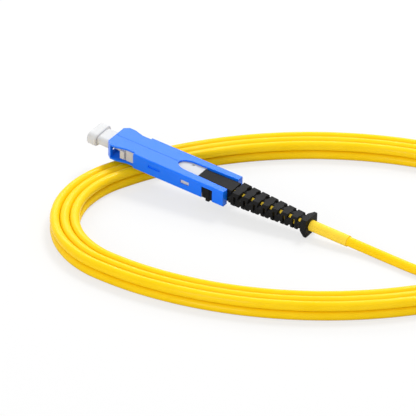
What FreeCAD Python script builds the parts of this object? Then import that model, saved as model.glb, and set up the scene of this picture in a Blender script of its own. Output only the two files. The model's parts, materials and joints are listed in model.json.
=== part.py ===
import FreeCAD, Part
import math
import os
import re
import Sketcher

# Optical patch cable: a yellow 2 mm cable wound into an oval coil, with one small
# push-pull plug on each end.
# Everything is in millimetres, +Z is up, and the origin is the coil's centre
# on the surface that the coil lies on.
# Each plug is modelled once, with +X from its front face to the cable,
# and is then placed twice, as the near plug and as the far plug.

Vector = FreeCAD.Vector
doc = FreeCAD.newDocument("patch_cable")
sheet = doc.addObject("Spreadsheet::Sheet", "sizes")

SIZES = [
    # the cable and its coil
    ("cable_diameter", "2.0", "outer jacket of the cable"),
    ("strands_across", "3", "turns that lie side by side in the coil"),
    ("strands_high", "2", "turns that lie on each other"),
    ("coil_half_length", "52.6", "to the middle of the outermost strand, along X"),
    ("coil_half_width", "35.1", "to the middle of the outermost strand, along Y"),
    ("coil_end_radius", "26.0", "outermost strand, at the two tight ends"),
    ("coil_edge", "0.6", "cut corners of the band, for a strand radius of 1"),
    ("bend_share", "0.45", "of a straight run, taken by the bend at its end"),
    ("past", "1.0", "by which a cutting shape passes what it cuts"),
    # the outer housing, which pulls back to unlatch
    ("housing_length", "28.9", ""),
    ("housing_width", "7.0", ""),
    ("housing_height", "3.65", ""),
    ("housing_plate", "0.4", "top and bottom wall"),
    ("housing_edge", "0.22", "chamfer along the long edges"),
    ("nose_cut_long", "1.0", "front corners, along the plug"),
    ("nose_cut_wide", "0.8", "front corners, across the plug"),
    ("waist_depth", "0.65", "how far the plates draw in on each side"),
    ("waist_taper_start", "2.4", ""),
    ("waist_start", "4.7", ""),
    ("waist_end", "6.75", ""),
    ("waist_round", "0.9", ""),
    ("latch_opening_start", "1.15", "opening in each side for the coupler's hooks"),
    ("latch_opening_end", "6.6", ""),
    ("slot_tip_reach", "5.65", "from the rear slot's tip to the end of the plug frame"),
    ("slot_tip_length", "2.9", "the slot's tip is half an ellipse"),
    ("slot_width", "3.3", "rear slot, where it becomes parallel to the plug"),
    ("slot_mouth_width", "4.0", "rear slot, at the housing's end"),
    ("grip_mark_start", "10.5", "shallow recess in each side"),
    ("grip_mark_end", "13.4", ""),
    ("grip_mark_top", "0.7", ""),
    ("grip_mark_bottom", "0.05", ""),
    ("grip_mark_depth", "0.3", ""),
    ("side_window_setback", "2.95", "small window in each side, ahead of the frame's end"),
    ("side_window_length", "2.15", ""),
    ("side_window_height", "0.95", ""),
    ("side_window_middle", "0.1", ""),
    ("key_window_setback", "2.25", "notch in each arm for the boot's key, behind the frame's end"),
    ("key_window_length", "2.65", ""),
    ("key_window_top", "1.05", ""),
    ("pull_travel", "0.7", "how far the housing pulls back"),
    ("pull_room", "0.15", "left behind the pulled housing"),
    ("parting_groove", "0.1", "fine line along the middle of the plates"),
    # the plug frame, which carries the inner works
    ("frame_front", "0.3", ""),
    ("housing_overhang", "7.55", "housing behind the frame's end"),
    ("frame_width", "5.2", ""),
    ("frame_clearance", "0.06", "between the frame and the housing"),
    ("frame_stop_gap", "0.2", "behind the frame, inside the housing"),
    ("frame_nose_end", "3.2", ""),
    ("frame_nose_width", "5.2", "at the catches"),
    ("frame_nose_tip_width", "4.2", "at the front"),
    ("frame_nose_bottom", "0.3", ""),
    ("catch_end", "4.2", "raised catch on each side of the frame"),
    ("catch_depth", "0.5", ""),
    ("catch_height", "1.9", ""),
    ("catch_groove", "0.15", ""),
    ("side_boss_reach", "3.2", "boss behind the housing's small window, from the middle"),
    ("side_boss_lap", "0.1", "past the window on every side"),
    ("side_boss_room", "0.05", "round the boss in its pocket"),
    ("frame_dimple_start", "18.2", "small pocket in the top of the frame"),
    ("frame_dimple_length", "0.6", ""),
    ("frame_dimple_inner", "0.95", ""),
    ("frame_dimple_outer", "1.5", ""),
    ("frame_dimple_depth", "0.3", ""),
    ("front_cavity_radius", "1.05", "room for the coupler's split sleeve"),
    ("front_cavity_end", "5.2", ""),
    ("throat_radius", "0.80", ""),
    ("throat_end", "6.9", ""),
    ("barrel_radius", "1.05", "room for the spring"),
    # the ferrule and what moves with it
    ("ferrule_radius", "0.625", ""),
    ("ferrule_tip", "0.6", ""),
    ("ferrule_chamfer", "0.15", ""),
    ("ferrule_rear", "8.2", ""),
    ("fibre_radius", "0.0625", "bare glass, bonded in the ferrule"),
    ("buffer_radius", "0.45", "tight buffer round the glass"),
    ("buffer_past_spigot", "0.4", "tight buffer behind the spigot"),
    ("flange_front", "5.8", ""),
    ("flange_sleeve_radius", "0.75", ""),
    ("flange_seat_gap", "0.02", ""),
    ("flange_collar_radius", "0.98", ""),
    ("flange_collar_length", "2.0", ""),
    ("flange_flat", "0.85", "half the width over the collar's two flats"),
    ("inner_tube_radius", "0.57", ""),
    ("inner_tube_bore", "0.47", ""),
    ("inner_tube_overlap", "2.0", "inside the stop ring"),
    ("spring_mean_radius", "0.80", ""),
    ("spring_wire_radius", "0.11", ""),
    ("spring_turns", "8", ""),
    ("stop_ring_depth", "5.45", "from the frame's end to the ring's front"),
    ("stop_ring_collar", "2.4", "length of the ring's collar"),
    # the stop ring, the crimp and the cable's strength yarn
    ("stop_ring_clearance", "0.01", ""),
    ("stop_ring_waist", "0.90", ""),
    ("stop_ring_bore", "0.60", ""),
    ("spigot_radius", "0.75", ""),
    ("spigot_length", "4.2", "behind the frame"),
    ("yarn_thickness", "0.13", ""),
    ("yarn_gap", "0.4", "behind the frame"),
    ("jacket_setback", "1.2", "from the spigot to the cable's jacket"),
    ("crimp_radius", "1.25", ""),
    ("crimp_length", "4.4", ""),
    ("crimp_groove", "0.1", ""),
    # the boot
    ("boot_neck_width", "3.1", "between the housing's arms, at its front"),
    ("boot_neck_rear_width", "3.6", "between the housing's arms, at its rear"),
    ("boot_neck_height", "3.0", ""),
    ("boot_root_width", "5.6", "where the boot leaves the housing"),
    ("boot_root_height", "3.2", ""),
    ("boot_root_corner", "0.65", "cut corners of the section there"),
    ("boot_tip_width", "3.2", ""),
    ("boot_tip_height", "2.9", ""),
    ("boot_corner", "0.45", "cut corners of the boot's section"),
    ("boot_front_bore", "1.27", "over the crimp"),
    ("boot_bore_step", "0.8", "behind the crimp, where the bore narrows"),
    ("boot_bore_clearance", "0.03", "over the sleeve"),
    ("boot_key_root", "0.2", "of the key inside the neck"),
    ("boot_key_reach", "3.2", "from the middle of the plug"),
    ("boot_key_lap", "0.1", "past the notch's front edge, under the housing's skin"),
    ("boot_key_room", "0.05", "round the key in its pocket"),
    ("boot_key_rear_gap", "0.1", ""),
    ("boot_key_top", "0.95", ""),
    ("boot_key_bottom", "-1.7", ""),
    ("boot_key_round", "0.2", ""),
    ("key_ridge_place", "0.95", "upright ridge on each key, behind the notch's front edge"),
    ("key_ridge_length", "0.9", ""),
    ("key_ridge_reach", "3.42", ""),
    ("key_ridge_bottom", "-2.1", ""),
    ("key_ridge_round", "0.2", ""),
    ("rib_spacing", "2.26", "from one flexing slot to the next"),
    ("rib_slot", "0.5", ""),
    ("rib_notch", "0.85", "length of the wider notch at each corner of a top slot"),
    ("rib_count", "8", "slots in the top and in the bottom; the sides have one less"),
    ("rib_top_depth", "1.3", "height at which the top slots end, over the bore"),
    ("rib_corner_wide", "0.5", "top slots, at the corners: deeper from here outwards"),
    ("rib_corner_depth", "0.6", ""),
    ("rib_side_height", "1.05", "height at which the side slots end; they are open below"),
    ("rib_side_depth", "0.9", ""),
    ("flare_gap", "0.1", "behind the last slot"),
    ("flare_length", "1.25", ""),
    ("flare_plate", "0.5", ""),
    ("flare_width", "4.2", ""),
    ("flare_height", "4.1", ""),
    ("flare_corner", "0.25", ""),
    # the sleeve over the cable
    ("sleeve_wall", "0.16", ""),
    ("sleeve_setback", "0.6", "from the cable's jacket to the sleeve"),
    ("sleeve_reach", "8.9", "past the boot"),
    # the dust cap
    ("cap_head_front", "5.4", "in front of the housing"),
    ("cap_head_length", "2.25", ""),
    ("cap_head_width", "5.8", ""),
    ("cap_head_height", "2.8", ""),
    ("cap_head_round", "1.2", ""),
    ("cap_edge_round", "0.35", ""),
    ("cap_neck_width", "4.4", ""),
    ("cap_neck_height", "2.0", ""),
    ("cap_neck_round", "0.8", ""),
    ("cap_neck_end", "0.15", ""),
    ("cap_tube_radius", "0.97", ""),
    ("cap_tube_end", "5.0", ""),
    ("cap_bore_radius", "0.66", ""),
    # where the near plug lies: across the coil, boot end on the surface
    ("near_front_x", "-41.42", ""),
    ("near_front_y", "23.81", ""),
    ("near_turn", "-32.8", "degrees about +Z"),
    ("near_roll", "5.9", "degrees towards the viewer"),
    ("near_rest_gap", "0.7", "between the housing and the coil's top"),
    ("near_floor_gap", "0.3", "under the boot's end"),
    ("near_crossing", "4.8", "from the front face to where the coil carries the plug"),
    # where the far plug lies: flat beside the coil
    ("far_sleeve_x", "56.5", ""),
    ("far_sleeve_y", "-11.5", ""),
    ("far_turn", "233.0", "degrees about +Z"),
    ("far_floor_gap", "0.02", ""),
    # values that follow from those above
    ("coil_height", "=cable_diameter*strands_high", ""),
    ("coil_band", "=cable_diameter*strands_across", ""),
    ("frame_height", "=housing_height-2*housing_plate-2*frame_clearance", ""),
    ("sleeve_radius", "=cable_diameter/2+sleeve_wall", ""),
    ("collar_front", "=throat_end+flange_seat_gap", ""),
    ("collar_rear", "=collar_front+flange_collar_length", ""),
    ("frame_rear", "=housing_length-housing_overhang", ""),
    ("slot_tip", "=frame_rear-slot_tip_reach", ""),
    ("side_window_start", "=frame_rear-side_window_setback", ""),
    ("side_window_end", "=side_window_start+side_window_length", ""),
    ("key_window_start", "=frame_rear+key_window_setback", ""),
    ("key_window_end", "=key_window_start+key_window_length", ""),
    ("side_boss_start", "=side_window_start-side_boss_lap", ""),
    ("side_boss_end", "=side_window_end+pull_travel+side_boss_lap", ""),
    ("side_boss_half", "=side_window_height/2+side_boss_lap", "half the boss's height"),
    ("stop_ring_start", "=frame_rear-stop_ring_depth", ""),
    ("stop_ring_collar_end", "=stop_ring_start+stop_ring_collar", ""),
    ("inner_tube_end", "=stop_ring_start+inner_tube_overlap", ""),
    ("spigot_end", "=frame_rear+spigot_length", ""),
    ("buffer_end", "=spigot_end+buffer_past_spigot", ""),
    ("yarn_start", "=frame_rear+yarn_gap", ""),
    ("crimp_end", "=yarn_start+crimp_length", ""),
    ("jacket_start", "=spigot_end+jacket_setback", ""),
    ("boot_front_bore_end", "=crimp_end+boot_bore_step", ""),
    ("boot_key_start", "=key_window_start-boot_key_lap", ""),
    ("boot_key_end", "=key_window_end-boot_key_rear_gap", ""),
    ("boot_root_start", "=housing_length+pull_travel+pull_room", ""),
    ("flare_start", "=boot_root_start+(rib_count-1)*rib_spacing+rib_slot+flare_gap", ""),
    ("flare_end", "=flare_start+flare_length", ""),
    ("boot_end", "=flare_end+flare_plate", ""),
    ("sleeve_start", "=jacket_start+sleeve_setback", ""),
    ("sleeve_end", "=boot_end+sleeve_reach", ""),
    ("near_lift", "=coil_height+near_rest_gap+housing_height/2", "axis height over the coil"),
    ("boot_end_lift", "=flare_height/2+near_floor_gap", "axis height at the boot's end"),
    ("near_pitch", "=asin((near_lift-boot_end_lift)/(boot_end-near_crossing))", ""),
    ("near_front_z", "=boot_end*sin(near_pitch)+boot_end_lift+flare_width/2*sin(near_roll)", ""),
    ("far_front_z", "=housing_height/2+far_floor_gap", ""),
    ("far_pitch", "=asin((housing_height-flare_height)/2/boot_end)", ""),
]
ALIASES = {row[0] for row in SIZES}
WORD = re.compile(r"[a-z][a-z_0-9]*")
WIRE_SIDES = 6
TINY = 1e-6


def bound(text):
    """The expression with each size's name pointed at the sheet."""
    def point(match):
        word = match.group(0)
        return "sizes." + word if word in ALIASES else word
    return WORD.sub(point, text)


def fill_sheet():
    for line, (alias, value, note) in enumerate(SIZES, start=1):
        cell = "B%d" % line
        sheet.set("A%d" % line, alias)
        sheet.set(cell, value)
        sheet.set("C%d" % line, note)
        sheet.setAlias(cell, alias)
    doc.recompute()


def size(expression):
    """The value of an expression over the sheet's names."""
    def value(match):
        return "(%.9f)" % sheet.get(match.group(0))
    return FreeCAD.Units.parseQuantity(WORD.sub(value, expression)).Value


# Building blocks, all bound to the sheet

def sketch_of(body, role, points, offset=None):
    """A closed outline of straight lines, each corner bound to the sheet."""
    sketch = body.newObject("Sketcher::SketchObject", body.Name + "_outline")
    plane = [item for item in body.Origin.OriginFeatures if item.Role == role][0]
    sketch.AttachmentSupport = [(plane, "")]
    sketch.MapMode = "FlatFace"
    if offset:
        sketch.setExpression("AttachmentOffset.Base.z", bound(offset))
    corners = [Vector(size(x), size(y), 0) for x, y in points]
    count = len(corners)
    for index in range(count):
        line = Part.LineSegment(corners[index], corners[(index + 1) % count])
        sketch.addGeometry(line, False)
    for index in range(count):
        sketch.addConstraint(Sketcher.Constraint("Coincident", index, 2, (index + 1) % count, 1))
    for index in range(count):
        bind_corner(sketch, "DistanceX", index, corners[index].x, points[index][0])
        bind_corner(sketch, "DistanceY", index, corners[index].y, points[index][1])
    return sketch


def bind_corner(sketch, kind, index, value, expression):
    place = sketch.addConstraint(Sketcher.Constraint(kind, -1, 1, index, 1, value))
    sketch.setExpression("Constraints[%d]" % place, bound(expression))


def add_pad(body, sketch, length, both_ways=False):
    pad = body.newObject("PartDesign::Pad", body.Name + "_pad")
    pad.Profile = sketch
    pad.SideType = "Symmetric" if both_ways else "One side"
    pad.setExpression("Length", bound(length))
    doc.recompute()
    return pad


def add_loft(body, sections):
    loft = body.newObject("PartDesign::AdditiveLoft", body.Name + "_loft")
    loft.Profile = sections[0]
    loft.Sections = sections[1:]
    loft.Ruled = True
    doc.recompute()
    return loft


def dress_edges(body, kind, base, amount, wanted):
    """Fillet or chamfer the edges of base for which wanted(edge) is true."""
    names = [
        "Edge%d" % number
        for number, edge in enumerate(base.Shape.Edges, start=1)
        if wanted(edge)
    ]
    dressed = body.newObject("PartDesign::" + kind, body.Name + "_" + kind.lower())
    dressed.Base = (base, names)
    dressed.setExpression("Radius" if kind == "Fillet" else "Size", bound(amount))
    doc.recompute()
    return dressed


def turned(name, points):
    """A piece turned about the plug's axis from its (x, radius) outline."""
    body = doc.addObject("PartDesign::Body", name)
    sketch = sketch_of(body, "XZ_Plane", points)
    spin = body.newObject("PartDesign::Revolution", name + "_turned")
    spin.Profile = sketch
    spin.ReferenceAxis = (sketch, ["H_Axis"])
    spin.Angle = 360
    return body


def tube_points(start, end, inner, outer):
    return [(start, inner), (end, inner), (end, outer), (start, outer)]


def block(name, x_range, y_range, z_range):
    """A box between two bound values on each axis."""
    box = doc.addObject("Part::Box", name)
    for side, axis, (low, high) in zip(
        ("Length", "Width", "Height"), "xyz", (x_range, y_range, z_range)
    ):
        box.setExpression(side, bound("(%s)-(%s)" % (high, low)))
        box.setExpression("Placement.Base." + axis, bound(low))
    return box


def mirrored_blocks(name, x_range, y_range, z_range):
    """The same box on both sides of the plug."""
    low, high = y_range
    return [
        block(name + "_left", x_range, (low, high), z_range),
        block(name + "_right", x_range, ("-(%s)" % high, "-(%s)" % low), z_range),
    ]


def rod(name, start, end, radius):
    """A plain cylinder on the plug's axis."""
    cylinder = doc.addObject("Part::Cylinder", name)
    cylinder.setExpression("Radius", bound(radius))
    cylinder.setExpression("Height", bound("(%s)-(%s)" % (end, start)))
    cylinder.Placement.Rotation = FreeCAD.Rotation(Vector(0, 1, 0), 90)
    cylinder.setExpression("Placement.Base.x", bound(start))
    return cylinder


def joined(name, shapes):
    fused = doc.addObject("Part::MultiFuse", name)
    fused.Shapes = shapes
    fused.Refine = True
    return fused


def cut_away(name, base, tools):
    cut = doc.addObject("Part::Cut", name)
    cut.Base = base
    cut.Tool = joined(name + "_tools", tools) if len(tools) > 1 else tools[0]
    cut.Refine = True
    return cut


# The plug's pieces, in the plug's own frame

def runs_along_x(edge):
    first, last = edge.Vertexes[0].Point, edge.Vertexes[-1].Point
    return abs(first.y - last.y) < TINY and abs(first.z - last.z) < TINY


def outer_housing():
    body = doc.addObject("PartDesign::Body", "housing_body")
    half = "housing_width/2"
    one_side = [
        ("0", half + "-nose_cut_wide"),
        ("nose_cut_long", half),
        ("waist_taper_start", half),
        ("waist_start", half + "-waist_depth"),
        ("waist_end", half + "-waist_depth"),
        ("waist_end", half),
        ("housing_length", half),
    ]
    other_side = [(x, "-(%s)" % y) for x, y in reversed(one_side)]
    outline = sketch_of(body, "XY_Plane", one_side + other_side)
    pad = add_pad(body, outline, "housing_height", both_ways=True)

    def on_taper(edge):
        x = edge.CenterOfMass.x
        upright = edge.BoundBox.ZLength > size("housing_height/2")
        return upright and size("waist_taper_start") - TINY < x < size("waist_start") + TINY

    pad = dress_edges(body, "Fillet", pad, "waist_round", on_taper)

    def long_edge(edge):
        return (
            runs_along_x(edge)
            and abs(abs(edge.CenterOfMass.y) - size(half)) < TINY
            and edge.CenterOfMass.x > size("waist_end")
        )

    dress_edges(body, "Chamfer", pad, "housing_edge", long_edge)
    return cut_away("housing_master", body, housing_cuts())


def housing_cuts():
    half = "housing_width/2"
    top = "housing_height/2"
    channel = "frame_width/2+frame_clearance"
    roof = top + "-housing_plate"
    full_height = ("-housing_height", "housing_height")
    cuts = [
        block("channel", ("-past", "frame_rear+frame_stop_gap"),
              ("-(%s)" % channel, channel), ("-(%s)" % roof, roof)),
        rear_slot_cutter(),
        slot_tip_cutter(),
        block("parting_line_top", ("-past", "slot_tip+past"),
              ("-parting_groove/2", "parting_groove/2"), (top + "-parting_groove/2", top + "+past")),
    ]
    cuts += mirrored_blocks("latch_opening", ("latch_opening_start", "latch_opening_end"),
                            ("frame_width/2", "housing_width"), ("-(%s)" % roof, roof))
    cuts += mirrored_blocks("grip_mark", ("grip_mark_start", "grip_mark_end"),
                            (half + "-grip_mark_depth", half + "+past"),
                            ("grip_mark_bottom", "grip_mark_top"))
    cuts += mirrored_blocks("side_window", ("side_window_start", "side_window_end"),
                            ("frame_width/2", half + "+past"),
                            ("side_window_middle-side_window_height/2",
                             "side_window_middle+side_window_height/2"))
    cuts += mirrored_blocks("side_boss_pocket",
                            ("side_boss_start-pull_travel-side_boss_room",
                             "side_boss_end+side_boss_room"),
                            ("frame_width/2", "side_boss_reach+side_boss_room"),
                            ("side_window_middle-side_boss_half-side_boss_room",
                             "side_window_middle+side_boss_half+side_boss_room"))
    cuts += mirrored_blocks("key_pocket",
                            ("boot_key_start-pull_travel-boot_key_room", "key_window_start+past"),
                            ("0", "boot_key_reach+boot_key_room"),
                            ("-housing_height", "key_window_top"))
    cuts += mirrored_blocks("key_window", ("key_window_start", "key_window_end"),
                            ("0", half + "+past"), ("-housing_height", "key_window_top"))
    return cuts


def rear_slot_cutter():
    """The open slot between the housing's arms, a little wider at its mouth."""
    body = doc.addObject("PartDesign::Body", "rear_slot")
    tip, mouth = "slot_tip+slot_tip_length", "housing_length"
    outline = sketch_of(body, "XY_Plane", [
        (tip, "-slot_width/2"),
        (mouth, "-slot_mouth_width/2"),
        (mouth + "+past", "-slot_mouth_width/2"),
        (mouth + "+past", "slot_mouth_width/2"),
        (mouth, "slot_mouth_width/2"),
        (tip, "slot_width/2"),
    ])
    add_pad(body, outline, "2*housing_height", both_ways=True)
    return body


def slot_tip_cutter():
    """The slot's rounded tip: an upright elliptical prism."""
    ellipse = doc.addObject("Part::Ellipse", "slot_tip_curve")
    ellipse.setExpression("MajorRadius", bound("slot_tip_length"))
    ellipse.setExpression("MinorRadius", bound("slot_width/2"))
    ellipse.setExpression("Placement.Base.x", bound("slot_tip+slot_tip_length"))
    ellipse.setExpression("Placement.Base.z", bound("-housing_height"))
    prism = doc.addObject("Part::Extrusion", "slot_tip_prism")
    prism.Base = ellipse
    prism.Dir = Vector(0, 0, 1)
    prism.setExpression("LengthFwd", bound("2*housing_height"))
    prism.Solid = True
    return prism


def plug_frame():
    half = "frame_width/2"
    roof = "frame_height/2"
    solids = [
        block("frame_block", ("frame_nose_end", "frame_rear"),
              ("-(%s)" % half, half), ("-(%s)" % roof, roof)),
        frame_nose(),
        rod("frame_muzzle", "frame_front", "frame_nose_end", roof),
    ]
    solids += mirrored_blocks("catch", ("frame_nose_end", "catch_end"),
                              (half, half + "+catch_depth"),
                              ("-catch_height/2", "catch_height/2"))
    solids += mirrored_blocks("side_boss", ("side_boss_start", "side_boss_end"),
                              (half, "side_boss_reach"),
                              ("side_window_middle-side_boss_half",
                               "side_window_middle+side_boss_half"))
    cuts = [
        rod("front_cavity", "-past", "front_cavity_end", "front_cavity_radius"),
        rod("throat", "0", "throat_end+past", "throat_radius"),
        rod("barrel", "throat_end", "frame_rear+past", "barrel_radius"),
        block("frame_dimple", ("frame_dimple_start", "frame_dimple_start+frame_dimple_length"),
              ("frame_dimple_inner", "frame_dimple_outer"),
              (roof + "-frame_dimple_depth", roof + "+past")),
    ]
    cuts += mirrored_blocks("catch_groove_cut", ("catch_end", "catch_end+catch_groove"),
                            (half + "-catch_groove", half + "+past"),
                            ("-housing_height", "housing_height"))
    return cut_away("frame_master", joined("frame_solids", solids), cuts)


def frame_nose():
    """The frame's front, narrower towards the coupler."""
    body = doc.addObject("PartDesign::Body", "frame_nose")
    outline = sketch_of(body, "XY_Plane", [
        ("frame_front", "-frame_nose_tip_width/2"),
        ("frame_nose_end", "-frame_nose_width/2"),
        ("frame_nose_end", "frame_nose_width/2"),
        ("frame_front", "frame_nose_tip_width/2"),
    ], offset="frame_nose_bottom")
    add_pad(body, outline, "frame_height/2-frame_nose_bottom")
    return body


def ferrule():
    return turned("ferrule_master", [
        ("ferrule_tip", "fibre_radius"),
        ("ferrule_rear", "fibre_radius"),
        ("ferrule_rear", "ferrule_radius"),
        ("ferrule_tip+ferrule_chamfer", "ferrule_radius"),
        ("ferrule_tip", "ferrule_radius-ferrule_chamfer"),
    ])


def ferrule_flange():
    body = turned("flange_body", [
        ("flange_front", "ferrule_radius"),
        ("ferrule_rear", "ferrule_radius"),
        ("ferrule_rear", "inner_tube_radius"),
        ("collar_rear", "inner_tube_radius"),
        ("collar_rear", "flange_collar_radius"),
        ("collar_front", "flange_collar_radius"),
        ("collar_front", "flange_sleeve_radius"),
        ("flange_front", "flange_sleeve_radius"),
    ])
    reach = "flange_collar_radius"
    flats = mirrored_blocks("flange_flat_cut", ("collar_front", "collar_rear"),
                            ("flange_flat", reach + "+past"), ("-" + reach, reach))
    return cut_away("flange_master", body, flats)


def inner_tube():
    return turned("inner_tube_master", tube_points(
        "ferrule_rear", "inner_tube_end", "inner_tube_bore", "inner_tube_radius"))


def fibre():
    return turned("fibre_master", [
        ("ferrule_tip", "0"),
        ("buffer_end", "0"),
        ("buffer_end", "buffer_radius"),
        ("ferrule_rear", "buffer_radius"),
        ("ferrule_rear", "fibre_radius"),
        ("ferrule_tip", "fibre_radius"),
    ])


def return_spring():
    """A many-sided wire swept along a helix between the flange and the stop ring."""
    wire, mean = size("spring_wire_radius"), size("spring_mean_radius")
    start = size("collar_rear") + wire
    travel = size("stop_ring_start") - wire - start
    helix = Part.makeHelix(travel / size("spring_turns"), travel, mean)
    corners = []
    for step in range(WIRE_SIDES + 1):
        angle = 2 * math.pi * step / WIRE_SIDES
        corners.append(Vector(mean + wire * math.cos(angle), 0, wire * math.sin(angle)))
    coil = Part.Wire(helix).makePipeShell([Part.makePolygon(corners)], True, True)
    spring = doc.addObject("Part::Feature", "spring_master")
    spring.Shape = coil
    spring.Placement = FreeCAD.Placement(Vector(start, 0, 0),
                                         FreeCAD.Rotation(Vector(0, 1, 0), 90))
    return spring


def stop_ring():
    return turned("stop_ring_master", [
        ("stop_ring_start", "stop_ring_bore"),
        ("spigot_end", "stop_ring_bore"),
        ("spigot_end", "spigot_radius"),
        ("frame_rear", "spigot_radius"),
        ("frame_rear", "stop_ring_waist"),
        ("stop_ring_collar_end", "stop_ring_waist"),
        ("stop_ring_collar_end", "barrel_radius-stop_ring_clearance"),
        ("stop_ring_start", "barrel_radius-stop_ring_clearance"),
    ])


def yarn_layer():
    return turned("yarn_master", tube_points(
        "yarn_start", "jacket_start", "spigot_radius", "spigot_radius+yarn_thickness"))


def crimp_ring():
    inner = "spigot_radius+yarn_thickness"
    third = "(crimp_end-yarn_start)/3"
    return turned("crimp_master", [
        ("yarn_start", inner),
        ("crimp_end", inner),
        ("crimp_end", "crimp_radius"),
        ("yarn_start+2*" + third, "crimp_radius"),
        ("yarn_start+2*" + third, "crimp_radius-crimp_groove"),
        ("yarn_start+" + third, "crimp_radius-crimp_groove"),
        ("yarn_start+" + third, "crimp_radius"),
        ("yarn_start", "crimp_radius"),
    ])


def cable_end():
    """The straight stretch of cable inside the boot and its sleeve."""
    return rod("cable_end_master", "jacket_start", "sleeve_end", "cable_diameter/2")


def jacket_sleeve():
    return turned("sleeve_master", tube_points(
        "sleeve_start", "sleeve_end", "cable_diameter/2", "sleeve_radius"))


def cut_corner_section(body, place, width, height, corner):
    """An eight-sided outline across the plug: a box with its corners cut."""
    y, z = "(%s)/2" % width, "(%s)/2" % height
    quarter = [(y, z + "-" + corner), (y + "-" + corner, z)]
    points = list(quarter)
    points += [("-(%s)" % a, b) for a, b in reversed(quarter)]
    points += [("-(%s)" % a, "-(%s)" % b) for a, b in quarter]
    points += [(a, "-(%s)" % b) for a, b in reversed(quarter)]
    return sketch_of(body, "YZ_Plane", points, offset=place)


def boot_shell():
    body = doc.addObject("PartDesign::Body", "boot_shell_body")
    root = ("boot_root_width", "boot_root_height", "boot_root_corner")
    tip = ("boot_tip_width", "boot_tip_height", "boot_corner")
    flare = ("flare_width", "flare_height", "flare_corner")
    neck_places = (("frame_rear", "boot_neck_width"), ("boot_root_start", "boot_neck_rear_width"))
    add_loft(body, [
        cut_corner_section(body, place, width, "boot_neck_height", "boot_corner/2")
        for place, width in neck_places
    ])
    add_loft(body, [cut_corner_section(body, "boot_root_start", *root),
                    cut_corner_section(body, "flare_start", *tip)])
    add_loft(body, [cut_corner_section(body, "flare_start", *tip),
                    cut_corner_section(body, "flare_end", *flare)])
    add_pad(body, cut_corner_section(body, "flare_end", *flare), "flare_plate")
    return body


def boot_key(side):
    """One of the two keys that stand in the housing's notches, with its upright ridge."""
    ridge_start = "key_window_start+key_ridge_place"
    return [
        key_block("boot_key_" + side, side, ("boot_key_start", "boot_key_end"),
                  "boot_key_reach", "boot_key_bottom", "boot_key_round"),
        key_block("key_ridge_" + side, side, (ridge_start, ridge_start + "+key_ridge_length"),
                  "key_ridge_reach", "key_ridge_bottom", "key_ridge_round"),
    ]


def key_block(name, side, along, reach, bottom, corner):
    """A block that stands out from the boot's neck, its two outer edges rounded."""
    body = doc.addObject("PartDesign::Body", name)
    sign = "" if side == "left" else "-"
    inner, outer = sign + "(boot_neck_width/2-boot_key_root)", sign + reach
    start, end = along
    outline = sketch_of(body, "XY_Plane", [
        (start, inner),
        (end, inner),
        (end, outer),
        (start, outer),
    ], offset=bottom)
    pad = add_pad(body, outline, "boot_key_top-(%s)" % bottom)

    def outer_edge(edge):
        at_reach = abs(abs(edge.CenterOfMass.y) - size(reach)) < TINY
        return at_reach and edge.BoundBox.XLength < TINY

    dress_edges(body, "Fillet", pad, corner, outer_edge)
    return body


def rib_cuts():
    """Flexing slots: top and bottom at one place, the two sides half a spacing on."""
    cuts = []
    reach = "flare_width"
    widening = "(rib_notch-rib_slot)/2"
    for number in range(int(size("rib_count"))):
        start = "boot_root_start+%d*rib_spacing" % number
        along = (start, start + "+rib_slot")
        notch = (start + "-" + widening, start + "+rib_slot+" + widening)
        for level, depths in (
            ("top", ("rib_top_depth", reach)), ("bottom", ("-" + reach, "-rib_top_depth"))
        ):
            cuts.append(block("rib_%s_%d" % (level, number), along, ("-" + reach, reach), depths))
        for level, depths in (
            ("upper", ("rib_corner_depth", reach)), ("lower", ("-" + reach, "-rib_corner_depth"))
        ):
            cuts += mirrored_blocks("rib_%s_notch_%d" % (level, number), notch if number else along,
                                    ("rib_corner_wide", reach), depths)
        if number:
            between = "boot_root_start+(%d-0.5)*rib_spacing" % number
            cuts += mirrored_blocks("rib_side_%d" % number, (between, between + "+rib_slot"),
                                    ("rib_side_depth", reach), ("-" + reach, "rib_side_height"))
    return cuts


def boot():
    solid = joined("boot_solids", [boot_shell()] + boot_key("left") + boot_key("right"))
    cuts = [
        rod("crimp_room", "frame_rear-past", "boot_front_bore_end", "boot_front_bore"),
        rod("sleeve_room", "boot_front_bore_end-past", "boot_end+past",
            "sleeve_radius+boot_bore_clearance"),
    ]
    return cut_away("boot_master", solid, cuts + rib_cuts())


def rounded_bar(name, start, end, width, height, corner, edge_round=None):
    """A bar along the plug with rounded corners, and softened ends if asked."""
    body = doc.addObject("PartDesign::Body", name)
    y, z = "(%s)/2" % width, "(%s)/2" % height
    outline = sketch_of(body, "YZ_Plane", [
        (y, z), ("-" + y, z), ("-" + y, "-" + z), (y, "-" + z),
    ], offset=start)
    pad = add_pad(body, outline, "(%s)-(%s)" % (end, start))
    rounded = dress_edges(body, "Fillet", pad, corner, runs_along_x)
    if edge_round:
        dress_edges(body, "Fillet", rounded, edge_round,
                    lambda edge: edge.BoundBox.XLength < TINY)
    return body


def dust_cap():
    head_end = "-cap_head_front+cap_head_length"
    head = rounded_bar("cap_head", "-cap_head_front", head_end,
                       "cap_head_width", "cap_head_height", "cap_head_round", "cap_edge_round")
    neck = rounded_bar("cap_neck", head_end + "-cap_edge_round", "cap_neck_end",
                       "cap_neck_width", "cap_neck_height", "cap_neck_round")
    tube = rod("cap_tube", "0", "cap_tube_end", "cap_tube_radius")
    bore = rod("cap_bore", "cap_neck_end", "cap_tube_end+past", "cap_bore_radius")
    return cut_away("cap_master", joined("cap_solids", [head, neck, tube]), [bore])


# Placing the plugs

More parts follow.
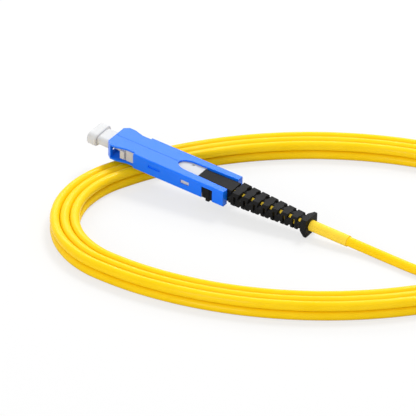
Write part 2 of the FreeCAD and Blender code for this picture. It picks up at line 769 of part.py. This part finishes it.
PLUG_PIECES = {
    "dust_cap": dust_cap,
    "outer_housing": outer_housing,
    "plug_frame": plug_frame,
    "ferrule": ferrule,
    "ferrule_flange": ferrule_flange,
    "inner_tube": inner_tube,
    "fibre": fibre,
    "return_spring": return_spring,
    "stop_ring": stop_ring,
    "yarn_layer": yarn_layer,
    "crimp_ring": crimp_ring,
    "boot": boot,
    "jacket_sleeve": jacket_sleeve,
    "cable_end": cable_end,
}
PLUG_PLACES = {
    "near": "placement(vector(near_front_x; near_front_y; near_front_z);"
            " rotation(near_turn; near_pitch; near_roll))",
    "far": "placement(vector(far_sleeve_x-sleeve_end*cos(far_pitch)*cos(far_turn);"
           " far_sleeve_y-sleeve_end*cos(far_pitch)*sin(far_turn); far_front_z);"
           " rotation(far_turn; far_pitch; 0))",
}


def place_plugs():
    """Two placed copies of every plug piece; returns them with their names."""
    placed = []
    for piece, build in PLUG_PIECES.items():
        master = build()
        for end, place in PLUG_PLACES.items():
            copy = doc.addObject("Part::Compound", end + "_" + piece)
            copy.Label = end + "_" + piece
            copy.Links = [master]
            copy.setExpression("Placement", bound(place))
            placed.append(copy)
    doc.recompute()
    return placed


# The coil and the two cable tails

def oval_face(inset):
    """The area inside the outermost strand's middle line, drawn in by inset."""
    length, width = size("coil_half_length"), size("coil_half_width")
    end = size("coil_end_radius")
    side = ((length - end) ** 2 + width ** 2 - end ** 2) / (2 * (width - end))
    end_middle = Vector(length - end, 0, 0)
    side_middle = Vector(0, width - side, 0)
    reach = (end_middle - side_middle).normalize()
    end_arc, side_arc = end - inset, side - inset
    north_east = end_middle + reach * end_arc
    corners = [Vector(north_east.x * a, north_east.y * b, 0)
               for a, b in ((1, 1), (-1, 1), (-1, -1), (1, -1))]
    middles = [Vector(0, side_middle.y + side_arc, 0), Vector(-(end_middle.x + end_arc), 0, 0),
               Vector(0, -(side_middle.y + side_arc), 0), Vector(end_middle.x + end_arc, 0, 0)]
    arcs = [Part.Arc(corners[index], middles[index], corners[(index + 1) % 4]).toShape()
            for index in range(4)]
    return Part.Face(Part.Wire(arcs))


def cable_coil():
    """The coil's outer shape: an oval band, its corners cut to follow its strands."""
    radius = size("cable_diameter") / 2
    inner = size("coil_band") - radius
    lift = Vector(0, 0, size("coil_height"))
    band = oval_face(-radius).extrude(lift).cut(oval_face(inner).extrude(lift))
    level = [edge for edge in band.Edges if edge.BoundBox.ZLength < TINY]
    coil = doc.addObject("Part::Feature", "cable_coil")
    coil.Shape = band.makeChamfer(radius * size("coil_edge"), level)
    return coil


def tube_along(points, radius, name):
    """Straight runs joined by tangent arcs, swept with a round section."""
    edges = []
    start = points[0]
    radii = []
    for before, corner, after in zip(points, points[1:], points[2:]):
        arriving, leaving = (corner - before), (after - corner)
        shorter = min(arriving.Length, leaving.Length)
        arriving.normalize()
        leaving.normalize()
        turn = arriving.getAngle(leaving)
        setback = size("bend_share") * shorter
        bend = setback / math.tan(turn / 2)
        radii.append(bend)
        arc_start, arc_end = corner - arriving * setback, corner + leaving * setback
        inward = (leaving - arriving).normalize()
        middle = corner + inward * (bend / math.cos(turn / 2) - bend)
        edges.append(Part.LineSegment(start, arc_start).toShape())
        edges.append(Part.Arc(arc_start, middle, arc_end).toShape())
        start = arc_end
    edges.append(Part.LineSegment(start, points[-1]).toShape())
    path = Part.Wire(edges)
    heading = (points[1] - points[0]).normalize()
    section = Part.Wire(Part.makeCircle(radius, points[0], heading))
    tube = path.makePipeShell([section], True, False)
    expected = math.pi * radius ** 2 * path.Length
    print(name, "radii", [round(value, 1) for value in radii],
          "length %.1f" % path.Length, "volume ratio %.4f" % (tube.Volume / expected))
    return tube


def plug_point(end, along):
    """A point on a placed plug's axis."""
    place = doc.getObject(end + "_boot").Placement
    return place.multVec(Vector(along, 0, 0))


def cable_tail(end, lead, route, coil):
    """The free cable from a plug's sleeve to the coil's wall."""
    sleeve_end = size("sleeve_end")
    points = [plug_point(end, sleeve_end), plug_point(end, sleeve_end + lead)]
    points += [Vector(*point) for point in route]
    name = "cable_tail_" + end
    tube = tube_along(points, size("cable_diameter") / 2, name)
    tail = doc.addObject("Part::Feature", name)
    parts = sorted(tube.cut(coil.Shape).Solids, key=lambda solid: solid.Volume)
    tail.Shape = parts[-1]
    return tail


NEAR_LEAD = 3.3
NEAR_ROUTE = [
    (14.0, -12.4, 1.03),
    (20.0, -17.4, 1.02),
    (26.2, -21.2, 1.02),
    (33.4, -20.9, 1.02),
    (40.0, -17.0, 1.02),
]
FAR_LEAD = 4.0
FAR_ROUTE = [
    (49.1, -18.9, 2.7),
    (41.8, -21.6, 2.95),
]


def check_all():
    """Stops on any object that failed to build."""
    for item in doc.Objects:
        if "Invalid" in item.State or "Error" in item.State:
            raise RuntimeError("%s failed: %s" % (item.Name, item.State))


def write_parts(nodes):
    os.makedirs("parts", exist_ok=True)
    for node in nodes:
        shape = node.Shape
        if shape.isNull() or not shape.isValid() or len(shape.Solids) != 1:
            raise RuntimeError("%s is not one valid solid" % node.Label)
    for node in nodes:
        node.Shape.exportStep("parts/%s.step" % node.Label)


fill_sheet()
nodes = place_plugs()
coil = cable_coil()
tails = [cable_tail("near", NEAR_LEAD, NEAR_ROUTE, coil),
         cable_tail("far", FAR_LEAD, FAR_ROUTE, coil)]
doc.recompute()
nodes += [coil] + tails
check_all()
write_parts(nodes)
for end in PLUG_PLACES:
    front, rear = plug_point(end, 0), plug_point(end, 1)
    print(end, "front", tuple(front), "axis", tuple(rear - front))
print("nodes", len(nodes))
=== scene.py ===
import json
import math
import bpy
import bmesh
from mathutils import Matrix, Vector


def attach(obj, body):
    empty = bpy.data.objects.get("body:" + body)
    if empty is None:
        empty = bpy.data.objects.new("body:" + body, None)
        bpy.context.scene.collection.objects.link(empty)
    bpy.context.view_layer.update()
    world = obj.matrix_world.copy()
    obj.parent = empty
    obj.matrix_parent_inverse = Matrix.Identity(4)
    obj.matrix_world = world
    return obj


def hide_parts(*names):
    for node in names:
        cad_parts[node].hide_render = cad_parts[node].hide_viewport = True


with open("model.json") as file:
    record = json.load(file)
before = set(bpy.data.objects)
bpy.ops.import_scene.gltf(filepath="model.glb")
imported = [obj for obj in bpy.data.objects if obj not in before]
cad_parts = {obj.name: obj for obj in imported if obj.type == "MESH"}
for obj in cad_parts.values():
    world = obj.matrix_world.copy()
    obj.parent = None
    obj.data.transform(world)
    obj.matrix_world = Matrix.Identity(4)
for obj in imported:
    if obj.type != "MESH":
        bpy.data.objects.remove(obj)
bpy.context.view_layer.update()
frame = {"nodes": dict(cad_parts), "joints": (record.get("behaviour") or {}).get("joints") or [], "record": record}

# Optical patch cable: one small push-pull plug lying across its own oval coil, the other
# plug beside the coil. Metres; origin at the coil's centre on the floor, +X along the coil.

nodes = frame["nodes"]


# stage: camera, floor and light

cameraSetup = {
    "elevation": 29.0,            # degrees above the floor, looking along +Y
    "distance": 0.9,
    "aim": (-0.022, 0.00104, 0.0045),
    "frameWidth": 0.0832,         # what the frame spans at that distance
    "sensor": 36.0,
    "nearClip": 0.05,
    "farClip": 20.0,
}

studio = {
    "floorSize": 6.0,
    "floorSockets": {
        "Base Color": (0.72, 0.72, 0.72, 1),
        "Roughness": 0.9,
        "Specular IOR Level": 0.1,
    },
    "floorGlow": 0.70,            # share of plain white that the camera sees in the floor
    "worldLight": 0.66,           # plain fill from all sides
    "worldSeen": 1.0,             # the world as the camera and glossy surfaces see it
    "aim": (-0.02, 0, 0),
    "lamps": [                    # place, size, power
        ((0.26, 0.40, 0.78), (0.34, 0.34), 5.0),
        ((-0.10, 0.88, 0.66), (1.20, 0.35), 3.8),
        ((-0.60, -0.90, 0.42), (0.50, 0.50), 4.2),
    ],
}


def addCamera():
    tilt = math.radians(cameraSetup["elevation"])
    eye = Vector((0, -math.cos(tilt), math.sin(tilt))) * cameraSetup["distance"]
    look = Vector(cameraSetup["aim"]) - eye
    bpy.ops.object.camera_add(location=eye, rotation=look.to_track_quat("-Z", "Y").to_euler())
    camera = bpy.context.object
    camera.data.sensor_width = cameraSetup["sensor"]
    camera.data.lens = cameraSetup["sensor"] * cameraSetup["distance"] / cameraSetup["frameWidth"]
    camera.data.clip_start = cameraSetup["nearClip"]
    camera.data.clip_end = cameraSetup["farClip"]
    bpy.context.scene.camera = camera


def newMaterial(name):
    material = bpy.data.materials.new(name)
    material.use_nodes = True
    tree = material.node_tree
    return material, tree, tree.nodes["Principled BSDF"]


def setSockets(shader, values):
    for label, value in values.items():
        shader.inputs[label].default_value = value


def addFloor():
    bpy.ops.object.select_all(action="DESELECT")
    bpy.ops.mesh.primitive_plane_add(size=studio["floorSize"])
    floor = bpy.context.object
    floor.name = "floor"
    material, tree, shader = newMaterial("floorCard")
    setSockets(shader, studio["floorSockets"])
    glow = tree.nodes.new("ShaderNodeEmission")
    paths = tree.nodes.new("ShaderNodeLightPath")
    share = tree.nodes.new("ShaderNodeMath")
    share.operation = "MULTIPLY"
    share.inputs[1].default_value = studio["floorGlow"]
    mix = tree.nodes.new("ShaderNodeMixShader")
    tree.links.new(paths.outputs["Is Camera Ray"], share.inputs[0])
    tree.links.new(share.outputs[0], mix.inputs["Fac"])
    tree.links.new(shader.outputs[0], mix.inputs[1])
    tree.links.new(glow.outputs[0], mix.inputs[2])
    tree.links.new(mix.outputs[0], tree.nodes["Material Output"].inputs["Surface"])
    floor.data.materials.append(material)


def addLights():
    for place, (width, height), power in studio["lamps"]:
        aim = (Vector(studio["aim"]) - Vector(place)).to_track_quat("-Z", "Y").to_euler()
        bpy.ops.object.light_add(type="AREA", location=place, rotation=aim)
        lamp = bpy.context.object
        lamp.data.shape = "ELLIPSE"
        lamp.data.size = width
        lamp.data.size_y = height
        lamp.data.energy = power
    world = bpy.data.worlds.new("studioWorld")
    bpy.context.scene.world = world
    world.use_nodes = True
    tree = world.node_tree
    background = tree.nodes["Background"]
    background.inputs["Color"].default_value = (1, 1, 1, 1)
    paths = tree.nodes.new("ShaderNodeLightPath")
    seen = tree.nodes.new("ShaderNodeMath")
    seen.operation = "MAXIMUM"
    tree.links.new(paths.outputs["Is Camera Ray"], seen.inputs[0])
    tree.links.new(paths.outputs["Is Glossy Ray"], seen.inputs[1])
    level = tree.nodes.new("ShaderNodeMapRange")
    level.inputs["To Min"].default_value = studio["worldLight"]
    level.inputs["To Max"].default_value = studio["worldSeen"]
    tree.links.new(seen.outputs[0], level.inputs["Value"])
    tree.links.new(level.outputs["Result"], background.inputs["Strength"])


bpy.context.scene.view_settings.view_transform = "Standard"
addCamera()
addFloor()
addLights()
print("stage: camera, floor, lamps and world")


# the two plugs' own frames: +x from the front face to the cable

plugRoll = {"near": 5.9, "far": 0.0}    # degrees about the plug's own axis


def plugFrame(end):
    mount = [m for m in frame["record"]["mounts"] if m["name"] == end + "_plug"][0]
    joint = [j for j in frame["joints"] if j["name"] == end + "_housing_pull"][0]
    axis = Vector(joint["axis"]).normalized()
    turn = Matrix.Rotation(math.atan2(axis.y, axis.x), 4, "Z")
    pitch = Matrix.Rotation(-math.asin(axis.z), 4, "Y")
    roll = Matrix.Rotation(math.radians(plugRoll[end]), 4, "X")
    return Matrix.Translation(mount["pos_m"]) @ turn @ pitch @ roll


plugs = {"near": plugFrame("near"), "far": plugFrame("far")}


# shared effects, each one node group

noiseLooks = {                    # a small stretch draws the noise out along that axis
    "cloud": {"scale": 300.0, "detail": 3.0, "roughness": 0.5, "range": (0.3, 0.7)},
    "grain": {"scale": 9000.0, "detail": 2.0, "roughness": 0.6},
    "marks": {"scale": 700.0, "detail": 5.0, "roughness": 0.7, "range": (0.58, 0.68),
              "stretch": (0.12, 1.0, 1.0)},
    "lines": {"scale": 6000.0, "detail": 3.0, "roughness": 0.7, "range": (0.3, 0.7),
              "stretch": (1.0, 0.04, 0.04)},
    "tone": {"scale": 500.0, "detail": 2.0, "roughness": 0.5, "range": (0.3, 0.7)},
    "wave": {"scale": 260.0, "detail": 1.0, "roughness": 0.5},
    "strands": {"scale": 9000.0, "detail": 3.0, "roughness": 0.5, "range": (0.3, 0.7),
                "stretch": (0.05, 1.0, 1.0)},
}


def newGroup(name, inputs, outputs):
    group = bpy.data.node_groups.new(name, "ShaderNodeTree")
    group.interface.new_socket("Vector", in_out="INPUT", socket_type="NodeSocketVector")
    for label, value in inputs.items():
        socket = group.interface.new_socket(label, in_out="INPUT", socket_type="NodeSocketFloat")
        socket.default_value = value
    for label in outputs:
        group.interface.new_socket(label, in_out="OUTPUT", socket_type="NodeSocketFloat")
    start = group.nodes.new("NodeGroupInput")
    finish = group.nodes.new("NodeGroupOutput")
    return group, start.outputs, finish.inputs


def addNoise(tree, vector, kind, scale=None):
    look = noiseLooks[kind]
    if "stretch" in look:
        stretch = tree.nodes.new("ShaderNodeMapping")
        stretch.inputs["Scale"].default_value = look["stretch"]
        tree.links.new(vector, stretch.inputs["Vector"])
        vector = stretch.outputs[0]
    noise = tree.nodes.new("ShaderNodeTexNoise")
    noise.inputs["Scale"].default_value = look["scale"]
    noise.inputs["Detail"].default_value = look["detail"]
    noise.inputs["Roughness"].default_value = look["roughness"]
    tree.links.new(vector, noise.inputs["Vector"])
    if scale is not None:
        tree.links.new(scale, noise.inputs["Scale"])
    return noise.outputs["Fac"]


def addRange(tree, value, source, target=(0.0, 1.0)):
    spread = tree.nodes.new("ShaderNodeMapRange")
    for label, amount in zip(("From Min", "From Max", "To Min", "To Max"), (*source, *target)):
        spread.inputs[label].default_value = amount
    tree.links.new(value, spread.inputs["Value"])
    return spread.outputs["Result"]


def makeMouldedSkin():
    # cloudy tone of moulded plastic, its fine spark texture, and faint handling marks
    scales = {"Cloud Scale": noiseLooks["cloud"]["scale"],
              "Grain Scale": noiseLooks["grain"]["scale"],
              "Mark Scale": noiseLooks["marks"]["scale"]}
    group, given, wanted = newGroup("mouldedSkin", scales, ("Cloud", "Grain", "Marks"))
    cloud = addNoise(group, given["Vector"], "cloud", given["Cloud Scale"])
    grain = addNoise(group, given["Vector"], "grain", given["Grain Scale"])
    marks = addNoise(group, given["Vector"], "marks", given["Mark Scale"])
    group.links.new(addRange(group, cloud, noiseLooks["cloud"]["range"]), wanted["Cloud"])
    group.links.new(grain, wanted["Grain"])
    group.links.new(addRange(group, marks, noiseLooks["marks"]["range"]), wanted["Marks"])
    return group


def makeFineLines():
    # drawn or turned metal: fine lines round the plug's axis
    group, given, wanted = newGroup("fineLines", {}, ("Lines", "Tone"))
    lines = addNoise(group, given["Vector"], "lines")
    tone = addNoise(group, given["Vector"], "tone")
    group.links.new(lines, wanted["Lines"])
    group.links.new(addRange(group, tone, noiseLooks["tone"]["range"]), wanted["Tone"])
    return group


mouldedSkin = makeMouldedSkin()
fineLines = makeFineLines()
print("effects: moulded skin, fine lines")


# materials

def addPlace(tree, place):
    # object coordinates, turned into a plug's own frame where a place is given
    coordinates = tree.nodes.new("ShaderNodeTexCoord").outputs["Object"]
    if place is None:
        return coordinates
    mapping = tree.nodes.new("ShaderNodeMapping")
    mapping.vector_type = "TEXTURE"
    mapping.inputs["Location"].default_value = place.to_translation()
    mapping.inputs["Rotation"].default_value = place.to_euler()
    tree.links.new(coordinates, mapping.inputs["Vector"])
    return mapping.outputs[0]


def addEffect(tree, group, vector, **values):
    effect = tree.nodes.new("ShaderNodeGroup")
    effect.node_tree = group
    tree.links.new(vector, effect.inputs["Vector"])
    for label, value in values.items():
        effect.inputs[label.replace("_", " ")].default_value = value
    return effect.outputs


def addBlend(tree, share, first, second):
    blend = tree.nodes.new("ShaderNodeMix")
    blend.data_type = "RGBA"
    tree.links.new(share, blend.inputs["Factor"])
    for label, color in (("A", first), ("B", second)):
        socket = [s for s in blend.inputs if s.name == label and s.type == "RGBA"][0]
        socket.default_value = (*color, 1)
    return [s for s in blend.outputs if s.type == "RGBA"][0]


def addBump(tree, shader, height, depth):
    bump = tree.nodes.new("ShaderNodeBump")
    bump.inputs["Strength"].default_value = 1.0
    bump.inputs["Distance"].default_value = depth
    tree.links.new(height, bump.inputs["Height"])
    tree.links.new(bump.outputs["Normal"], shader.inputs["Normal"])


plasticLooks = {
    "housingBlue": {
        "color": (0.004, 0.165, 0.93), "cloud": (0.005, 0.169, 0.94),
        "rough": (0.30, 0.33), "grain": 9000.0, "depth": 2.0e-7,
        "sockets": {"Specular IOR Level": 0.2, "Coat Weight": 0.1, "Coat Roughness": 0.1},
    },
    "frameWhite": {
        # painted light: a faint blue in this white cancels the yellow light bounced onto it from the cable
        "color": (0.54, 0.545, 0.56), "cloud": (0.56, 0.565, 0.58),
        "rough": (0.38, 0.44), "grain": 8000.0, "depth": 8.0e-7,
        "sockets": {"Specular IOR Level": 0.2, "Subsurface Weight": 0.08,
                    "Subsurface Radius": (0.0006, 0.0005, 0.0004)},
    },
    "capWhite": {
        # painted light: a faint blue in this white cancels the yellow light bounced onto it from the cable
        "color": (0.61, 0.615, 0.62), "cloud": (0.63, 0.635, 0.64),
        "rough": (0.36, 0.42), "grain": 7000.0, "depth": 8.0e-7,
        "sockets": {"Specular IOR Level": 0.15, "Subsurface Weight": 0.15,
                    "Subsurface Radius": (0.0012, 0.001, 0.0009)},
    },
    "bootBlack": {
        "color": (0.010, 0.010, 0.0105), "cloud": (0.013, 0.013, 0.0135),
        "rough": (0.46, 0.54), "grain": 14000.0, "depth": 2.0e-6,
        "sockets": {"Specular IOR Level": 0.06},
    },
    "tubeMilky": {
        "color": (0.78, 0.78, 0.76), "cloud": (0.84, 0.84, 0.82),
        "rough": (0.30, 0.38), "grain": 6000.0, "depth": 1.0e-6,
        "sockets": {"Subsurface Weight": 0.3, "Subsurface Radius": (0.001, 0.001, 0.001)},
    },
    "bufferWhite": {
        "color": (0.70, 0.72, 0.74), "cloud": (0.76, 0.78, 0.80),
        "rough": (0.28, 0.36), "grain": 6000.0, "depth": 1.0e-6,
        "sockets": {},
    },
    "ceramicWhite": {
        "color": (0.82, 0.81, 0.79), "cloud": (0.85, 0.84, 0.82),
        "rough": (0.10, 0.16), "grain": 20000.0, "depth": 3.0e-7,
        "sockets": {"Specular IOR Level": 0.7},
    },
}


def makePlastic(name, look, place):
    material, tree, shader = newMaterial(name)
    vector = addPlace(tree, place)
    skin = addEffect(tree, mouldedSkin, vector, Grain_Scale=look["grain"])
    color = addBlend(tree, skin["Cloud"], look["color"], look["cloud"])
    tree.links.new(color, shader.inputs["Base Color"])
    rough = addRange(tree, skin["Marks"], (0.0, 1.0), look["rough"])
    tree.links.new(rough, shader.inputs["Roughness"])
    addBump(tree, shader, skin["Grain"], look["depth"])
    setSockets(shader, look["sockets"])
    return material


lineDepth = 1.0e-6                # of the fine lines in the metal

metalLooks = {
    "nickelFlange": {
        "color": (0.60, 0.57, 0.50), "tone": (0.70, 0.67, 0.60), "rough": (0.22, 0.34),
    },
    "springWire": {
        "color": (0.46, 0.46, 0.47), "tone": (0.58, 0.58, 0.58), "rough": (0.20, 0.32),
    },
    "ringMetal": {
        "color": (0.52, 0.50, 0.44), "tone": (0.64, 0.61, 0.54), "rough": (0.24, 0.36),
    },
    "crimpMetal": {
        "color": (0.50, 0.49, 0.46), "tone": (0.62, 0.61, 0.58), "rough": (0.30, 0.45),
    },
}


def makeMetal(name, look, place):
    material, tree, shader = newMaterial(name)
    drawn = addEffect(tree, fineLines, addPlace(tree, place))
    color = addBlend(tree, drawn["Tone"], look["color"], look["tone"])
    tree.links.new(color, shader.inputs["Base Color"])
    rough = addRange(tree, drawn["Lines"], noiseLooks["lines"]["range"], look["rough"])
    tree.links.new(rough, shader.inputs["Roughness"])
    addBump(tree, shader, drawn["Lines"], lineDepth)
    setSockets(shader, {"Metallic": 1.0})
    return material


jacketLook = {
    # painted shade: the cable's deeper orange stands in for the shade and bounce light between the coil's strands
    "color": (0.90, 0.580, 0.003),
    "cloud": (0.92, 0.605, 0.008),
    # painted light: the sleeve is the same yellow jacket, in a paler copy that paints it as lit
    "sleevePaintedLitColor": (0.90, 0.630, 0.045),
    "sleevePaintedLitCloud": (0.92, 0.650, 0.055),
    "rough": (0.26, 0.33),
    "cloudScale": 160.0,
    "grainScale": 5000.0,
    "grainDepth": 8.0e-7,
    "markScale": 500.0,
    "waveDepth": 3.0e-6,          # slow swelling of an extruded jacket
    "sockets": {"Specular IOR Level": 0.05, "Coat Weight": 0.09, "Coat Roughness": 0.12},
}


def makeJacket(name, color, cloud, place=None):
    material, tree, shader = newMaterial(name)
    vector = addPlace(tree, place)
    skin = addEffect(tree, mouldedSkin, vector, Cloud_Scale=jacketLook["cloudScale"],
                     Grain_Scale=jacketLook["grainScale"], Mark_Scale=jacketLook["markScale"])
    tree.links.new(addBlend(tree, skin["Cloud"], color, cloud), shader.inputs["Base Color"])
    rough = addRange(tree, skin["Marks"], (0.0, 1.0), jacketLook["rough"])
    tree.links.new(rough, shader.inputs["Roughness"])
    height = tree.nodes.new("ShaderNodeMath")
    height.operation = "MULTIPLY_ADD"
    tree.links.new(addNoise(tree, vector, "wave"), height.inputs[0])
    height.inputs[1].default_value = jacketLook["waveDepth"] / jacketLook["grainDepth"]
    tree.links.new(skin["Grain"], height.inputs[2])
    addBump(tree, shader, height.outputs[0], jacketLook["grainDepth"])
    setSockets(shader, jacketLook["sockets"])
    return material


yarnLook = {
    "color": (0.72, 0.50, 0.10), "tone": (0.85, 0.66, 0.22),
    "rough": (0.45, 0.7), "depth": 2.0e-5,
    "sockets": {"Sheen Weight": 0.3},
}


def makeYarn(name, place):
    material, tree, shader = newMaterial(name)
    strands = addNoise(tree, addPlace(tree, place), "strands")
    color = addBlend(tree, strands, yarnLook["color"], yarnLook["tone"])
    tree.links.new(color, shader.inputs["Base Color"])
    rough = addRange(tree, strands, noiseLooks["strands"]["range"], yarnLook["rough"])
    tree.links.new(rough, shader.inputs["Roughness"])
    addBump(tree, shader, strands, yarnLook["depth"])
    setSockets(shader, yarnLook["sockets"])
    return material


# the whole cable takes the deeper orange, painted shade from between the coil's strands
cableFinish = makeJacket("cablePaintedShadeYellow", jacketLook["color"], jacketLook["cloud"])
finishOf = {}
for end, place in plugs.items():
    plastic, metal = {}, {}
    for name, look in plasticLooks.items():
        plastic[name] = makePlastic(end + name[0].upper() + name[1:], look, place)
    for name, look in metalLooks.items():
        metal[name] = makeMetal(end + name[0].upper() + name[1:], look, place)
    # the sleeve's paler yellow is painted light on the same jacket
    sleeve = makeJacket(end + "SleevePaintedLitYellow", jacketLook["sleevePaintedLitColor"],
                        jacketLook["sleevePaintedLitCloud"], place)
    core = makeJacket(end + "CoreYellow", jacketLook["color"], jacketLook["cloud"], place)
    finishOf[end] = {
        "dust_cap": plastic["capWhite"],
        "outer_housing": plastic["housingBlue"],
        "plug_frame": plastic["frameWhite"],
        "ferrule": plastic["ceramicWhite"],
        "ferrule_flange": metal["nickelFlange"],
        "inner_tube": plastic["tubeMilky"],
        "fibre": plastic["bufferWhite"],
        "return_spring": metal["springWire"],
        "stop_ring": metal["ringMetal"],
        "yarn_layer": makeYarn(end + "Yarn", place),
        "crimp_ring": metal["crimpMetal"],
        "boot": plastic["bootBlack"],
        "jacket_sleeve": sleeve,
        "cable_end": core,
    }
print("materials:", len(bpy.data.materials))


# the plugs: every node gets its finish, and the moulded ones a skin with softened edges

skinSetup = {                     # body: the moving one that the piece belongs to, or None
    "dust_cap": {"body": "cap", "slot": "cap_plastic", "bevel": 0.00012},
    "outer_housing": {"body": "housing", "slot": "housing_plastic", "bevel": 0.00018},
    "plug_frame": {"body": None, "slot": "frame_plastic", "bevel": 0.00006},
    "boot": {"body": None, "slot": "boot_rubber", "bevel": 0.00007},
    "jacket_sleeve": {"body": None, "slot": "sleeve_jacket", "bevel": 0.00005},
}

skinLimits = {
    "weld": 2.0e-6,
    "flat": math.radians(0.6),
    "corner": math.radians(32),   # a sharper fold than this gets a soft edge
    "steps": 3,
    "groove": 0.00012,            # half width of the fine line that keeps its crisp edges
}


def activate(piece):
    bpy.ops.object.select_all(action="DESELECT")
    piece.select_set(True)
    bpy.context.view_layer.objects.active = piece


def markSoftEdges(skin, toPlug):
    shape = bmesh.new()
    shape.from_mesh(skin.data)
    weight = shape.edges.layers.float.new("bevel_weight_edge")
    for edge in shape.edges:
        inGroove = all(abs((toPlug @ corner.co).y) < skinLimits["groove"] for corner in edge.verts)
        folded = len(edge.link_faces) == 2 and edge.calc_face_angle() > skinLimits["corner"]
        edge[weight] = 1.0 if folded and not inGroove else 0.0
    shape.to_mesh(skin.data)
    shape.free()


def makeSkin(end, piece, setup):
    node = nodes[end + "_" + piece]
    skin = bpy.data.objects.new(end + "_" + piece + "_skin", node.data.copy())
    bpy.context.scene.collection.objects.link(skin)
    activate(skin)
    bpy.ops.object.mode_set(mode="EDIT")
    bpy.ops.mesh.select_all(action="SELECT")
    bpy.ops.mesh.remove_doubles(threshold=skinLimits["weld"])
    bpy.ops.mesh.dissolve_limited(angle_limit=skinLimits["flat"])
    bpy.ops.object.mode_set(mode="OBJECT")
    markSoftEdges(skin, plugs[end].inverted())
    bevel = skin.modifiers.new("softEdges", "BEVEL")
    bevel.width = setup["bevel"]
    bevel.segments = skinLimits["steps"]
    bevel.limit_method = "WEIGHT"
    bevel.use_clamp_overlap = True
    bpy.ops.object.modifier_apply(modifier="softEdges")
    bpy.ops.object.shade_smooth_by_angle(angle=skinLimits["corner"])
    even = skin.modifiers.new("evenFaces", "WEIGHTED_NORMAL")
    even.keep_sharp = True
    bpy.ops.object.modifier_apply(modifier="evenFaces")
    skin.data.materials.clear()
    skin.data.materials.append(finishOf[end][piece])
    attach(skin, end + "_" + setup["body"] if setup["body"] else "root")
    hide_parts(node.name)
    return skin


for end in plugs:
    for piece, finish in finishOf[end].items():
        if piece in skinSetup:
            makeSkin(end, piece, skinSetup[piece])
        else:
            for slot in nodes[end + "_" + piece].material_slots:
                slot.link = "OBJECT"
                slot.material = finish
    print("plug:", end)


# the cable

cableSize = {
    "diameter": 0.002,
    "length": 1.64,
    "sleeveEnd": 0.05682,         # from the plug's front face to where the cable comes free
    "pathSteps": 6,
    "roundSteps": 6,
}

nearRoute = {
    "lead": 0.0033,               # straight run out of the sleeve
    "points": [
        (0.0140, -0.0124, 0.00103),
        (0.0200, -0.0174, 0.00102),
        (0.0262, -0.0212, 0.00102),
        (0.0334, -0.0209, 0.00102),
    ],
}

farRoute = {
    "lead": 0.0040,               # straight run into the sleeve
    "points": [
        (0.0418, -0.0216, 0.00295),
        (0.0491, -0.0189, 0.00270),
    ],
}

coilSize = {
    "halfLength": 0.0526,         # to the middle of the outermost strand
    "halfWidth": 0.0351,
    "endRadius": 0.0260,
    "pointStep": 10,              # degrees between the points of a turn
    "start": -50,                 # normal angle at which the cable joins the coil
    "finish": 2090,               # and at which it leaves
    "shift": 33,                  # degrees that one change of lane takes
    "lanes": [                    # (strands in from the outermost, level)
        (3, 0), (2, 0), (2, 1), (1, 1), (1, 0), (0, 0), (0, 1),
    ],
    "shiftStarts": [              # angle at which each change of lane begins
        24.5, 368.0, 711.5, 1055.0, 1398.5, 1742.0,
    ],
}


def easeBetween(share):
    share = min(1.0, max(0.0, share))
    return share * share * (3 - 2 * share)


def laneAt(angle):
    # strands in from the outermost and level, eased from one lane to the next
    inward, level = coilSize["lanes"][0]
    for begin, lane in zip(coilSize["shiftStarts"], coilSize["lanes"][1:]):
        share = easeBetween((angle - begin) / coilSize["shift"])
        inward += (lane[0] - inward) * share
        level += (lane[1] - level) * share
    return inward, level


def coilPoint(angle):
    # the oval is two tight end arcs and two wide side arcs that meet without a corner
    endRadius, width = coilSize["endRadius"], coilSize["halfWidth"]
    endCentre = coilSize["halfLength"] - endRadius
    sideRadius = (endCentre ** 2 + width ** 2 - endRadius ** 2) / (2 * (width - endRadius))
    sideCentre = sideRadius - width
    inward, level = laneAt(angle)
    lane = cableSize["diameter"] * inward
    across, along = math.sin(math.radians(angle)), math.cos(math.radians(angle))
    if abs(across) * endCentre > abs(along) * sideCentre:
        radius, x, y = sideRadius - lane, 0.0, -math.copysign(sideCentre, across)
    else:
        radius, x, y = endRadius - lane, math.copysign(endCentre, along), 0.0
    # the drawn line runs inside its points, so they stand a little further out
    radius /= math.cos(math.radians(coilSize["pointStep"] / 2))
    height = cableSize["diameter"] * (level + 0.5)
    return Vector((x + radius * along, y + radius * across, height))


def cablePoints():
    leave = plugs["near"] @ Vector((cableSize["sleeveEnd"], 0, 0))
    arrive = plugs["far"] @ Vector((cableSize["sleeveEnd"], 0, 0))
    outward = plugs["near"].to_3x3() @ Vector((1, 0, 0))
    inward = plugs["far"].to_3x3() @ Vector((1, 0, 0))
    points = [leave, leave + outward * nearRoute["lead"]]
    points += [Vector(point) for point in nearRoute["points"]]
    for angle in range(coilSize["start"], coilSize["finish"] + 1, coilSize["pointStep"]):
        points.append(coilPoint(angle))
    points += [Vector(point) for point in farRoute["points"]]
    return points + [arrive + inward * farRoute["lead"], arrive]


def addCable():
    points = cablePoints()
    curve = bpy.data.curves.new("cable", "CURVE")
    curve.dimensions = "3D"
    spline = curve.splines.new("NURBS")
    spline.points.add(len(points) - 1)
    for point, place in zip(spline.points, points):
        point.co = (*place, 1)
    spline.order_u = 3
    spline.use_endpoint_u = True
    curve.resolution_u = cableSize["pathSteps"]
    curve.bevel_depth = cableSize["diameter"] / 2
    curve.bevel_resolution = cableSize["roundSteps"]
    curve.materials.append(cableFinish)
    cable = bpy.data.objects.new("cable", curve)
    bpy.context.scene.collection.objects.link(cable)
    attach(cable, "root")
    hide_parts("cable_coil", "cable_tail_near", "cable_tail_far")


addCable()
print("cable: laid")
